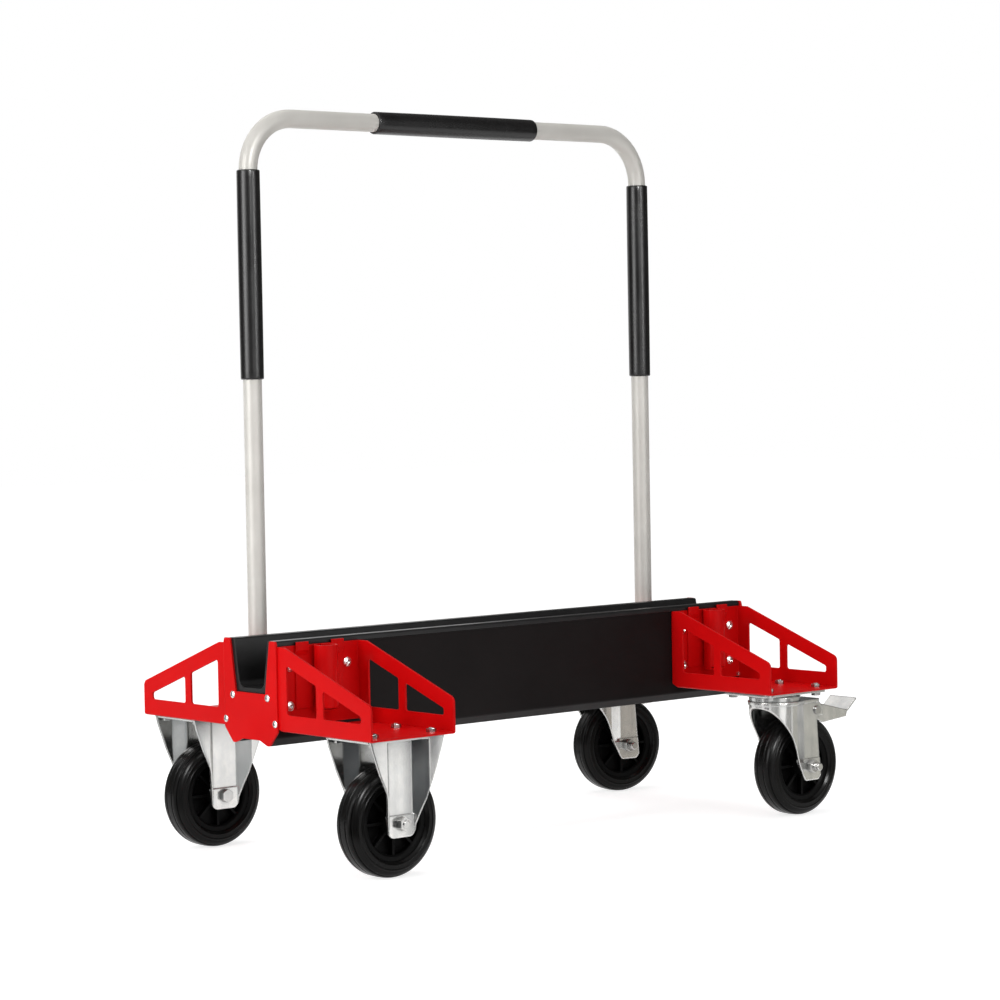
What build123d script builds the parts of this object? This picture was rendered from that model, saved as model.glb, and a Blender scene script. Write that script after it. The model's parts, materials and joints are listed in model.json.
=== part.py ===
from build123d import *
from math import cos, radians, sin, sqrt
import os

# A trolley for large tiles: a long trough on four castered corner brackets, with a push handle.
# Millimetres. X runs along the trough, Y across it with the handle at +Y, Z up from the ground.

# Places of the main pieces
STATION_X = 396.0        # brackets, casters and handle legs stand this far from the middle
CASTER_Y = 213.0         # caster centre, from the beam's middle plane
DECK_Z = 203.0           # underside of the bracket bottom plates, on which the casters are bolted
HANDLE_Y = 87.0          # handle tube and rear socket axis, from the beam's middle plane
SPARE_Y = 79.0           # axis of the empty front sockets, from the beam's middle plane
ORIGIN_X = 39.9          # middle of the whole trolley, brake pedals included, from the beam's middle

# Beam
BEAM_HALF = 472.5        # half length, up to the end plates' inner faces
BEAM_SHEET = 2.5
WALL_Y = 57.0            # outer face of the side walls
FLANGE_IN = 13.0         # the wall's lower edge turns in by this much, at 45 degrees
BEAM_BOTTOM = 180.0
TROUGH_TOP = 326.0
TROUGH_FLOOR = 255.0
TROUGH_TOP_HALF = 48.0   # inner half width at the top of the channel
TROUGH_FLOOR_HALF = 36.3
SHEET_BEND = 4.0         # bend radius on the sheet's middle line

# Rubber liner
LINER_TOP = 333.0
LINER_THICK = 7.0
LIP_Y = 59.8             # outer face of the lip that hangs over the beam's top edge
LIP_BOTTOM = 325.3
LIP_INSIDE = 57.4
LINER_CORNER = 12.0      # radius of the inner floor corners
LIP_ROUND = 3.5

# End plates
PLATE = 3.0              # sheet of the red pieces
PLATE_HALF = 64.3
HORN_HALF = 62.3
NOTCH_TOP_HALF = 48.3
PLATE_SHOULDER_Z = 201.5
FOOT_OUT = 44.5
FOOT_IN = 39.0
FOOT_CUT_HALF = 21.0
FOOT_CUT_Z = 187.0
UPPER_SCREW = (42.5, 250.0)
LOWER_SCREW = (60.0, 213.5)

# Corner brackets
BRACKET_HALF = 76.5      # half width over the gussets
BRACKET_REACH = 278.0    # front edge of the gussets, from the beam's middle plane
BRACKET_TOP = 325.0
SLOPE_START = 80.0       # the gusset's top is level up to here, then slopes down
SLOPE = 0.3575
HEEL = (70.0, 211.0)     # cut-off lower corner next to the beam: reach and height
BEND_OUT = 3.6
BEND_IN = 0.6
WINDOW_FLOOR = 228.0
NEAR_WINDOW = (84.0, 154.0)
FAR_WINDOW = (169.0, 256.0)
SLOPE_BAND = 24.0        # red band left over the windows, measured upright
WINDOW_CORNER = 4.0
SCREW_U = 53.0           # bracket screws, from the socket's middle
SCREW_ROWS = (237.5, 294.5)

# Tube sockets and handle
TUBE_R = 14.0
TUBE_WALL = 2.0
SOCKET_R = 14.3
SOCKET_BOTTOM = 233.0
SOCKET_TOP = 324.5
NECK_HALF = 4.0
EAR_OUT = 43.0
TAB_IN = 21.5
TAB_TOP = 330.0
TAB_BEND = (311.0, 318.0)  # the tab steps out between these heights, to clear the liner's lip
TAB_STEP = 3.4
STOP_THICK = 3.0
STOP_DROP = 2.0          # the stop lies this far below the sleeve
TUBE_FOOT = 231.5        # lower end of the handle tube, standing on the socket's stop
HANDLE_TOP = 1100.0      # axis of the top bar
HANDLE_BEND = 80.0
GRIP_R = 17.6
LEFT_GRIP = (710.5, 1021.5)
RIGHT_GRIP = (704.0, 1018.0)
TOP_GRIP = (-156.5, 165.0)

# Wheels and axles
WHEEL_R = 80.0
TYRE_HALF = 21.5
TYRE_EDGE = 78.8         # radius of the tread at its edges
SHOULDER_R = 13.0
TREAD_GROOVES = ((79.9, 6.0), (76.8, 16.0))  # radius and side offset of each moulded groove
SIDE_BEADS = ((68.0, 20.9), (61.0, 20.9))    # the same for the beads on the side wall
GROOVE_R = 1.2
BEAD_R = 1.5
RIM_R = 56.0
HUB_HALF = 28.5
SLEEVE_R = 10.0
RUNNING_GAP = 0.06
AXLE_R = 6.0
AXLE_HEX = 18.0
FIXED_TIP = 1.5          # how far the axle bolts stand out of their nuts
SWIVEL_TIP = 11.0
RIB_COUNT = 8

# Caster plates and bolts
PLATE_X = 135.0
PLATE_Y = 103.0
BOLT_X = 52.5            # half of the 105 mm hole spacing
BOLT_Y = 40.0            # half of the 80 mm hole spacing
BOLT_R = 4.0
BOLT_HOLE_R = 4.5
BOLT_HEX = 13.0
BOLT_HEAD = 5.3
NUT_HIGH = 5.0
BOLT_END = 212.5
FORK_SHEET = 3.5
FIXED_PLATE = 4.0
SWIVEL_PLATE = 5.0

# Fork legs, measured outwards from the wheel's middle plane
WEB_Y = 33.0             # outer face of the web that holds the axle
FIXED_WING_Y = 51.5      # outer face of the fixed fork's wings
SWIVEL_WING_Y = 41.0     # outer face of the swivel fork's round front
PAD = 1.2                # raised pad round the axle, pressed out of the web
PAD_TOP = 92.0
SEAT_Y = WEB_Y + PAD     # the axle's head and nut bear on the pads

# Swivel caster, along the trailing direction from the king pin
TRAIL = 45.0
REAR_TURN = -9.0         # the rear swivel caster stands turned by this much, in degrees
CROWN_TOP = 186.0
CROWN = 5.5
CROWN_LIP = 2.0          # the crown plate stands out over the legs by this much
CROWN_END = 70.0
KING_R = 8.0
RACE_R = 41.0
PEDAL_PIN = (62.0, 168.0)
PEDAL_PIN_R = 4.0
PEDAL_HALF = 28.0
PEDAL_SHEET = 3.0
PRESS = 12.0             # travel of the brake pedal, in degrees


def sheet_fold(points, thickness, radius):
    """Cross-section of a folded sheet along its middle line."""
    return trace(FilletPolyline(*points, radius=radius), line_width=thickness)


def along_x(section, start, length):
    """Extrude a section drawn as (Y, Z) along X."""
    return Pos(start, 0, 0) * extrude(Plane.YZ * section, length)


def along_y(section, start, length):
    """Extrude a section drawn as (X, Z) along Y."""
    return Pos(0, start, 0) * extrude(Plane.XZ * section, -length)


def outline(*points):
    return make_face(Polyline(*points, close=True))


def at_height(section, height):
    """Corners of a flat section at one height."""
    return section.vertices().filter_by_position(Axis.Y, height - 0.1, height + 0.1)


def rod(radius, start, length, axis):
    """Cylinder from a start point along an axis letter."""
    turn = {"x": Rot(0, 90, 0), "y": Rot(-90, 0, 0), "z": Rot(0, 0, 0)}[axis]
    ends = (Align.CENTER, Align.CENTER, Align.MIN)
    return Pos(*start) * turn * Cylinder(radius, length, align=ends)


def hexagon(across, start, length, axis):
    turn = {"x": Rot(0, 90, 0), "y": Rot(-90, 0, 0), "z": Rot(0, 0, 0)}[axis]
    return Pos(*start) * turn * extrude(RegularPolygon(across / 2, 6, major_radius=False, rotation=30), length)


def button_screw(radius, head_r, head_high, grip):
    """Button-head screw along -Z, head seated on Z = 0, with a hexagon socket."""
    dome = Pos(0, 0, head_high) * Sphere(head_r * 1.6)
    dome = Pos(0, 0, -head_r * 1.6) * dome
    head = Cylinder(head_r, head_high, align=(Align.CENTER, Align.CENTER, Align.MIN)) & dome
    socket = extrude(RegularPolygon(radius * 0.72, 6), -head_high * 0.55)
    head = head - Pos(0, 0, head_high) * socket
    return head + Pos(0, 0, -grip) * Cylinder(radius, grip, align=(Align.CENTER, Align.CENTER, Align.MIN))


def mirrored(shape, across_x, across_y):
    if across_x:
        shape = mirror(shape, about=Plane.YZ)
    if across_y:
        shape = mirror(shape, about=Plane.XZ)
    return shape


# Beam

def trough_channel():
    half = BEAM_SHEET / 2
    side = [
        (WALL_Y, TROUGH_TOP - half),
        (TROUGH_TOP_HALF + half, TROUGH_TOP - half),
        (TROUGH_FLOOR_HALF + half, TROUGH_FLOOR - half),
    ]
    points = [(-y, z) for y, z in side] + side[::-1]
    return along_x(sheet_fold(points, BEAM_SHEET, SHEET_BEND), -BEAM_HALF, 2 * BEAM_HALF)


def side_wall():
    """Front wall of the beam; the rear one is its mirror image."""
    half = BEAM_SHEET / 2
    wall_y = WALL_Y - half
    slant = half * sqrt(0.5)
    points = [
        (-(WALL_Y - FLANGE_IN - slant), BEAM_BOTTOM + slant),
        (-wall_y, BEAM_BOTTOM + FLANGE_IN),
        (-wall_y, TROUGH_TOP - BEAM_SHEET),
    ]
    wall = along_x(sheet_fold(points, BEAM_SHEET, SHEET_BEND), -BEAM_HALF, 2 * BEAM_HALF)
    for x in station_offsets(SCREW_U):
        for z in SCREW_ROWS:
            wall -= rod(5.6, (x, -WALL_Y - 1, z), BEAM_SHEET + 2, "y")
    return wall


def station_offsets(offset):
    """The four places at +-offset from the left and right stations."""
    return [side * STATION_X + sign * offset for side in (-1, 1) for sign in (-1, 1)]


def trough_liner():
    floor_half = TROUGH_FLOOR_HALF - 0.1
    top_half = TROUGH_TOP_HALF - 0.1
    floor = TROUGH_FLOOR + 0.1
    seat = TROUGH_TOP + 0.1
    outside = [(floor_half, floor), (top_half, seat), (LIP_INSIDE, seat), (LIP_INSIDE, LIP_BOTTOM)]
    inside = [(LIP_Y, LIP_BOTTOM), (LIP_Y, LINER_TOP), (top_half - LINER_THICK, LINER_TOP),
              (floor_half - LINER_THICK, floor + LINER_THICK)]
    right = outside + inside
    section = outline(*right, *[(-y, z) for y, z in right[::-1]])
    section = fillet(at_height(section, floor + LINER_THICK), LINER_CORNER)
    section = fillet(at_height(section, LINER_TOP), LIP_ROUND)
    section = fillet(at_height(section, floor), SHEET_BEND)
    return along_x(section, -BEAM_HALF, 2 * BEAM_HALF)


def end_plate():
    """Right end plate; the left one is its mirror image."""
    right = [
        (TROUGH_FLOOR_HALF, TROUGH_FLOOR), (NOTCH_TOP_HALF, LINER_TOP), (HORN_HALF, LINER_TOP),
        (PLATE_HALF, LINER_TOP - 7), (PLATE_HALF, PLATE_SHOULDER_Z), (FOOT_OUT, BEAM_BOTTOM),
        (FOOT_IN, BEAM_BOTTOM), (FOOT_CUT_HALF, FOOT_CUT_Z),
    ]
    section = outline(*right, *[(-y, z) for y, z in right[::-1]])
    section = fillet(at_height(section, LINER_TOP), 2.5)
    section = fillet(at_height(section, BEAM_BOTTOM), 2.0)
    for y, z in screw_places():
        section -= Pos(y, z) * Circle(3.2)
    return along_x(section, BEAM_HALF, PLATE)


def screw_places():
    return [(sign * y, z) for y, z in (UPPER_SCREW, LOWER_SCREW) for sign in (-1, 1)]


def end_bulkhead():
    """Right bulkhead inside the beam, under the trough, with two weld nuts for the end plate."""
    inner = WALL_Y - BEAM_SHEET - 0.3
    gap = BEAM_SHEET + 0.6
    ear_top = TROUGH_FLOOR + 3
    lean = (TROUGH_TOP_HALF - TROUGH_FLOOR_HALF) / (TROUGH_TOP - TROUGH_FLOOR)
    ear_in = TROUGH_FLOOR_HALF + gap + lean * (ear_top - TROUGH_FLOOR)
    right = [
        (TROUGH_FLOOR_HALF + gap, TROUGH_FLOOR - gap), (ear_in, ear_top), (inner, ear_top),
        (inner, DECK_Z), (inner - 10, DECK_Z - 8),
    ]
    section = outline(*right, *[(-y, z) for y, z in right[::-1]])
    plate = along_x(section, BEAM_HALF - PLATE, PLATE)
    y, z = UPPER_SCREW
    for side in (-y, y):
        plate += rod(5.5, (BEAM_HALF - PLATE - 5, side, z), 5, "x")
        plate -= rod(3.05, (BEAM_HALF - 20, side, z), 30, "x")
    return plate


def end_plate_screws():
    screw = button_screw(3.0, 5.25, 3.3, 9.0)
    screws = []
    for y, z in screw_places():
        grip = Pos(BEAM_HALF + PLATE, y, z) * Rot(0, 90, 0) * screw
        screws += [grip, mirrored(grip, True, False)]
    return screws


# Corner brackets. The front-right one is drawn round X = 0 and then set at its station.

def slope_z(reach):
    return BRACKET_TOP - SLOPE * (reach - SLOPE_START)


def gusset_outline():
    """Side view of the bracket as (reach, Z)."""
    heel_reach, heel_z = HEEL
    face = outline(
        (WALL_Y, BRACKET_TOP), (SLOPE_START, BRACKET_TOP), (BRACKET_REACH, slope_z(BRACKET_REACH)),
        (BRACKET_REACH, DECK_Z), (heel_reach, DECK_Z), (WALL_Y, heel_z),
    )
    nose = face.vertices().filter_by_position(Axis.X, BRACKET_REACH - 0.1, BRACKET_REACH + 0.1)
    face = fillet(nose.sort_by(Axis.Y)[-1], 10.0)
    face = fillet(at_height(face, DECK_Z).sort_by(Axis.X)[-1], 2.5)
    shoulder = face.vertices().filter_by_position(Axis.X, SLOPE_START - 0.1, SLOPE_START + 0.1)
    return fillet(shoulder, 8.0)


def gusset_window(near, far):
    top_near = slope_z(near) - SLOPE_BAND
    top_far = slope_z(far) - SLOPE_BAND
    face = outline((near, WINDOW_FLOOR), (far, WINDOW_FLOOR), (far, top_far), (near, top_near))
    return fillet(face.vertices(), WINDOW_CORNER)


def across(section):
    """Extrude a side view drawn as (reach, Z) through the whole bracket, reach pointing to -Y."""
    side = Plane(origin=(0, 0, 0), x_dir=(0, -1, 0), z_dir=(-1, 0, 0))
    return extrude(side * section, BRACKET_HALF + 5, both=True)


def corner_bracket():
    low_front = (Align.CENTER, Align.MAX, Align.MIN)
    reach = BRACKET_REACH - WALL_Y
    height = BRACKET_TOP - DECK_Z
    block = Pos(0, -WALL_Y, DECK_Z) * Box(2 * BRACKET_HALF, reach, height, align=low_front)
    back = block.edges().filter_by(Axis.Z).group_by(Axis.Y)[-1]
    bottom = block.edges().filter_by(Axis.Y).group_by(Axis.Z)[0]
    block = fillet(back + bottom, BEND_OUT)
    bay = Box(2 * (BRACKET_HALF - PLATE), reach + 20, height + 20, align=low_front)
    bay = Pos(0, -WALL_Y - PLATE, DECK_Z + PLATE) * bay
    back = bay.edges().filter_by(Axis.Z).group_by(Axis.Y)[-1]
    bottom = bay.edges().filter_by(Axis.Y).group_by(Axis.Z)[0]
    bay = fillet(back + bottom, BEND_IN)
    bracket = (block - bay) & across(gusset_outline())
    bracket -= across(gusset_window(*NEAR_WINDOW))
    bracket -= across(gusset_window(*FAR_WINDOW))
    for u in (-SCREW_U, SCREW_U):
        for z in SCREW_ROWS:
            bracket -= rod(4.2, (u, -WALL_Y - PLATE - 1, z), PLATE + 2, "y")
    for x, y in bolt_places():
        bracket -= rod(BOLT_HOLE_R, (x, -CASTER_Y + y, DECK_Z - 1), PLATE + 2, "z")
    y, z = LOWER_SCREW
    bracket -= rod(3.1, (BRACKET_HALF - 8, -y, z), 10, "x")
    return bracket


def bolt_places():
    return [(sx * BOLT_X, sy * BOLT_Y) for sx in (-1, 1) for sy in (-1, 1)]


def tube_socket(axis_y):
    """Omega-shaped sleeve for a handle tube, with two tabs that reach up in front of the liner's lip."""
    outer = SOCKET_R + PLATE
    face_y = WALL_Y + PLATE
    neck_long = axis_y - face_y
    ring = Circle(outer) - Circle(SOCKET_R)
    mouth = Pos(0, neck_long / 2) * Rectangle(2 * NECK_HALF, neck_long)
    cheeks = Pos(0, neck_long / 2) * Rectangle(2 * (NECK_HALF + PLATE), neck_long) - Circle(outer - 0.5)
    ears = Pos(0, neck_long - PLATE / 2) * Rectangle(2 * TAB_IN, PLATE)
    sleeve = extrude(ring + cheeks + ears - mouth, SOCKET_TOP - SOCKET_BOTTOM)
    stop = extrude(Rectangle(2 * outer, 14) & Circle(outer), -STOP_DROP - STOP_THICK)
    stop -= rod(SOCKET_R + 0.6, (0, 0, -STOP_DROP), STOP_DROP + 1, "z")
    socket = Pos(0, -axis_y, SOCKET_BOTTOM) * (sleeve + stop)
    tab_y = -face_y - PLATE / 2
    low, high = TAB_BEND
    points = [(tab_y, SOCKET_BOTTOM), (tab_y, low), (tab_y - TAB_STEP, high), (tab_y - TAB_STEP, TAB_TOP)]
    tab = along_x(sheet_fold(points, PLATE, 3.0), TAB_IN, EAR_OUT - TAB_IN)
    return socket + tab + mirrored(tab, True, False)


def bracket_screws(place):
    """Button-head screws of all four brackets, or what they are screwed into."""
    pieces = []
    for x in station_offsets(SCREW_U):
        for z in SCREW_ROWS:
            front = Pos(x, -WALL_Y, z) * Rot(90, 0, 0) * place
            pieces += [front, mirrored(front, False, True)]
    return pieces


def bracket_screw():
    return Pos(0, 0, PLATE) * button_screw(BOLT_R, 7.0, 4.4, PLATE + 9.0)


def rivet_nut():
    return Pos(0, 0, -10.0) * (Cylinder(5.5, 10.0, align=(Align.CENTER, Align.CENTER, Align.MIN))
                               - Cylinder(BOLT_R + 0.05, 10.0, align=(Align.CENTER, Align.CENTER, Align.MIN)))


# Handle

def handle_tube():
    path = Plane.XZ * FilletPolyline(
        (-STATION_X, TUBE_FOOT), (-STATION_X, HANDLE_TOP), (STATION_X, HANDLE_TOP), (STATION_X, TUBE_FOOT),
        radius=HANDLE_BEND,
    )
    ring = Circle(TUBE_R) - Circle(TUBE_R - TUBE_WALL)
    return Pos(0, HANDLE_Y, 0) * sweep(Pos(-STATION_X, 0, TUBE_FOOT) * ring, path)


def grip(length):
    """Foam sleeve along Z from Z = 0."""
    sleeve = Cylinder(GRIP_R, length, align=(Align.CENTER, Align.CENTER, Align.MIN))
    sleeve = fillet(sleeve.edges().filter_by(GeomType.CIRCLE), 2.0)
    return sleeve - Pos(0, 0, -1) * Cylinder(TUBE_R + 0.1, length + 2, align=(Align.CENTER, Align.CENTER, Align.MIN))


def side_grip(x, span):
    low, high = span
    return Pos(x, HANDLE_Y, low) * grip(high - low)


def top_grip():
    left, right = TOP_GRIP
    return Pos(left, HANDLE_Y, HANDLE_TOP) * Rot(0, 90, 0) * grip(right - left)


# Wheels, drawn round the Y axis at the wheel's middle and lifted to axle height

def spun(section):
    """Revolve a section drawn as (radius, Y) round the wheel's axle."""
    return Pos(0, 0, WHEEL_R) * revolve(Plane.XY * section, Axis.Y)


def wheel_hub():
    bore = SLEEVE_R + RUNNING_GAP
    boss = 18.0
    web_half = 4.0
    rim_in = 47.0
    rim_half = 17.0
    bevel = 2.5
    right = [(bore, HUB_HALF), (boss, HUB_HALF), (boss + 2, web_half), (rim_in, web_half),
             (rim_in, rim_half - bevel), (rim_in + bevel, rim_half), (RIM_R, rim_half)]
    hub = spun(outline(*right, *[(r, -y) for r, y in right[::-1]]))
    rib_mid = (boss + rim_in) / 2
    for step in range(RIB_COUNT):
        rib = Pos(rib_mid, 0, 0) * Box(rim_in - boss + 3, 2 * rim_half - 6, 4.0)
        hub += Pos(0, 0, WHEEL_R) * Rot(0, step * 360 / RIB_COUNT, 0) * rib
    return hub


def tyre():
    seat = RIM_R + 0.05
    side = [(TYRE_EDGE, TYRE_HALF), (60.0, TYRE_HALF), (seat, 18.0)]
    line = Polyline(*side, *[(r, -y) for r, y in side[::-1]])
    tread = ThreePointArc((TYRE_EDGE, -TYRE_HALF), (WHEEL_R, 0), (TYRE_EDGE, TYRE_HALF))
    section = make_face([line, tread])
    edges = section.vertices().filter_by_position(Axis.X, TYRE_EDGE - 0.1, TYRE_EDGE + 0.1)
    section = fillet(edges, SHOULDER_R)
    for sign in (-1, 1):
        for r, y in TREAD_GROOVES:
            section -= Pos(r, sign * y) * Circle(GROOVE_R)
        for r, y in SIDE_BEADS:
            section += Pos(r, sign * y) * Circle(BEAD_R)
    return spun(section)


def axle_tube():
    length = 2 * (WEB_Y - FORK_SHEET) - 0.4
    start = (0, -length / 2, WHEEL_R)
    return rod(SLEEVE_R, start, length, "y") - rod(AXLE_R + 0.1, start, length, "y")


def axle_bolt(tip):
    """Bolt with its head at +Y and its nut at -Y, as two solids."""
    head = 7.5
    nut = 10.0
    end_y = -SEAT_Y - nut - tip
    shank = rod(AXLE_R, (0, end_y, WHEEL_R), SEAT_Y - end_y, "y")
    shank = chamfer(shank.edges().filter_by(GeomType.CIRCLE).sort_by(Axis.Y)[0], 1.0)
    bolt = shank + hexagon(AXLE_HEX, (0, SEAT_Y, WHEEL_R), head, "y")
    ring = hexagon(AXLE_HEX, (0, -SEAT_Y - nut, WHEEL_R), nut, "y")
    ring -= rod(AXLE_R + 0.02, (0, -SEAT_Y - nut - 1, WHEEL_R), nut + 2, "y")
    return [bolt, ring]


def axle_pads(leg_view):
    """Pressed pads on the outside of both webs, as low as the legs and up to the pads' top."""
    low_part = leg_view & Pos(0, PAD_TOP) * Rectangle(300, 300, align=(Align.CENTER, Align.MAX))
    pad = along_y(low_part, -SEAT_Y, PAD + 0.5)
    return pad + mirrored(pad, False, True)


# Fixed caster, drawn with its wheel at X = 0

def fixed_leg_view():
    """Tapered side view of the fixed fork's leg."""
    toe_z = 60.0
    right = [
        (23.0, toe_z), (24.5, 76.0), (29.0, 94.0), (37.5, 124.0), (50.0, 152.0), (62.5, 187.0), (66.5, DECK_Z - 1),
    ]
    face = outline(*right, *[(-x, z) for x, z in right[::-1]])
    return fillet(at_height(face, toe_z), 10.0)


def fixed_fork():
    half = FORK_SHEET / 2
    wing = FIXED_WING_Y - half
    web = WEB_Y - half
    points = [(-70, wing), (-37, wing), (-23, web), (23, web), (37, wing), (70, wing)]
    leg = extrude(sheet_fold(points, FORK_SHEET, 5.0), DECK_Z) & along_y(fixed_leg_view(), -100, 200)
    plate = RectangleRounded(PLATE_X, PLATE_Y, 8.0)
    for x, y in bolt_places():
        plate -= Pos(x, y) * Circle(BOLT_HOLE_R)
    fork = Pos(0, 0, DECK_Z - FIXED_PLATE) * extrude(plate, FIXED_PLATE)
    fork += leg
    fork += mirrored(leg, False, True)
    fork += axle_pads(fixed_leg_view())
    return fork - rod(AXLE_R + 0.1, (0, -100, WHEEL_R), 200, "y")


# Swivel caster, drawn with its king pin at X = 0 and its wheel trailing to +X

def swivel_plate():
    plate = RectangleRounded(PLATE_X, PLATE_Y, 10.0)
    for x, y in bolt_places():
        plate -= Pos(x, y) * Circle(BOLT_HOLE_R)
    body = Pos(0, 0, DECK_Z - SWIVEL_PLATE) * extrude(plate, SWIVEL_PLATE)
    dome_high = 5.0
    dome = Cone(24.0, 29.0, dome_high, align=(Align.CENTER, Align.CENTER, Align.MIN))
    body += Pos(0, 0, DECK_Z - SWIVEL_PLATE - dome_high) * dome
    body -= rod(KING_R + 0.02, (0, 0, DECK_Z - 20), 30, "z")
    return body - rod(14.1, (0, 0, DECK_Z - 3.0), 10, "z")


def race_ring():
    top = DECK_Z - SWIVEL_PLATE - 0.5
    section = outline((30.0, CROWN_TOP), (RACE_R, CROWN_TOP), (RACE_R, top - 4), (RACE_R - 4, top), (30.0, top))
    return revolve(Plane.XZ * section, Axis.Z)


def king_pin():
    pin = rod(14.0, (0, 0, DECK_Z - 2.8), 2.8, "z")
    nut_top = CROWN_TOP - CROWN - 0.3
    pin += rod(KING_R, (0, 0, nut_top - 10), DECK_Z - nut_top + 8, "z")
    return pin + hexagon(22.0, (0, 0, nut_top - 8), 8, "z")


def swivel_side_view():
    """Side view of the swivel fork's legs: an arched leading edge, and an ear on top of the trailing edge."""
    low, top = 57.0, CROWN_TOP - CROWN
    arch = Spline(
        (-41.0, 176.5), (-34.4, 172.7), (-23.6, 161.0), (-11.0, 143.5), (0.0, 126.0), (9.5, 101.0), (24.0, 72.0),
    )
    foot = Polyline((24.0, 72.0), (33.0, low), (62.0, low), (68.0, 64.0), (62.0, 150.0))
    flare = ThreePointArc((62.0, 150.0), (64.5, 156.5), (71.0, 159.0))
    back = Polyline((71.0, 159.0), (75.0, 159.0), (75.0, 173.0), (68.0, top), (-41.0, top), (-41.0, 176.5))
    face = make_face([arch, foot, flare, back])
    return fillet(at_height(face, low), 5.0)


def swivel_plan(wing, web, end):
    """Filled plan of the swivel fork: round about the king pin, then stepping in to the webs."""
    front = ThreePointArc((0, wing), (-wing, 0), (0, -wing))
    side = [(0, wing), (8, wing), (32, web), (end, web)]
    return make_face([front, Polyline(*side, *[(x, -y) for x, y in side[::-1]])])


def swivel_fork():
    far = 90.0
    inside = swivel_plan(SWIVEL_WING_Y - FORK_SHEET, WEB_Y - FORK_SHEET, far)
    fork = extrude(swivel_plan(SWIVEL_WING_Y, WEB_Y, far) - inside, CROWN_TOP)
    fork &= along_y(swivel_side_view(), -100, 200)
    crown = swivel_plan(SWIVEL_WING_Y + CROWN_LIP, WEB_Y + CROWN_LIP, CROWN_END)
    crown = fillet(crown.vertices().group_by(Axis.X)[-1], 8.0)
    fork += Pos(0, 0, CROWN_TOP - CROWN) * extrude(crown, CROWN)
    fork += axle_pads(swivel_side_view())
    fork -= rod(KING_R + RUNNING_GAP, (0, 0, CROWN_TOP - 20), 40, "z")
    fork -= rod(AXLE_R + 0.1, (TRAIL, -100, WHEEL_R), 200, "y")
    x, z = PEDAL_PIN
    return fork - rod(PEDAL_PIN_R + 0.02, (x, -100, z), 200, "y")


def brake_pedal():
    """Foot lever: a sloping plate with an upturned tip, and two skirts that hold the pin."""
    plate = sheet_fold([(52, 176.0), (72, 176.0), (137, 160.0), (159, 178.5)], PEDAL_SHEET, 5.0)
    pedal = along_y(plate, -PEDAL_HALF, 2 * PEDAL_HALF)
    skirt = outline((52, 175.0), (72, 175.0), (137, 159.5), (134.5, 151.0), (81, 146.0), (54, 158.0))
    for side in (-PEDAL_HALF, PEDAL_HALF - PEDAL_SHEET):
        pedal += along_y(skirt, side, PEDAL_SHEET)
    x, z = PEDAL_PIN
    return pedal - rod(PEDAL_PIN_R + RUNNING_GAP, (x, -100, z), 200, "y")


def brake_shoe():
    """Block under the pedal, hollowed so that it meets the tyre when the pedal is down."""
    x, z = PEDAL_PIN
    dx = TRAIL - x
    dz = WHEEL_R - z
    turn = radians(-PRESS)
    centre_x = x + dx * cos(turn) + dz * sin(turn)
    centre_z = z - dx * sin(turn) + dz * cos(turn)
    block = along_y(outline((76, 173.4), (98, 168.0), (98, 148), (76, 148)), -15, 30)
    return block - rod(WHEEL_R + 0.6, (centre_x, -40, centre_z), 80, "y")


def pedal_pin():
    x, z = PEDAL_PIN
    pin = rod(PEDAL_PIN_R, (x, -WEB_Y - 3, z), 2 * WEB_Y + 6, "y")
    pin += rod(6.5, (x, -WEB_Y - 3, z), 3, "y")
    return pin + rod(6.5, (x, WEB_Y, z), 3, "y")


# Caster bolts and nuts

def caster_bolts():
    bolts = []
    for side in (-1, 1):
        for row in (-1, 1):
            plate = FIXED_PLATE if side < 0 else SWIVEL_PLATE
            low = DECK_Z - plate
            for x, y in bolt_places():
                at = Pos(side * STATION_X + x, row * CASTER_Y + y, 0)
                bolt = hexagon(BOLT_HEX, (0, 0, low - BOLT_HEAD), BOLT_HEAD, "z")
                bolts.append(at * (bolt + rod(BOLT_R, (0, 0, low), BOLT_END - low, "z")))
    return bolts


def caster_nuts():
    seat = DECK_Z + PLATE
    nut = hexagon(BOLT_HEX, (0, 0, seat), NUT_HIGH, "z") - rod(BOLT_R + 0.02, (0, 0, seat - 1), NUT_HIGH + 2, "z")
    places = [(sx * STATION_X + x, sy * CASTER_Y + y) for sx in (-1, 1) for sy in (-1, 1) for x, y in bolt_places()]
    return [Pos(x, y, 0) * nut for x, y in places]


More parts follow.
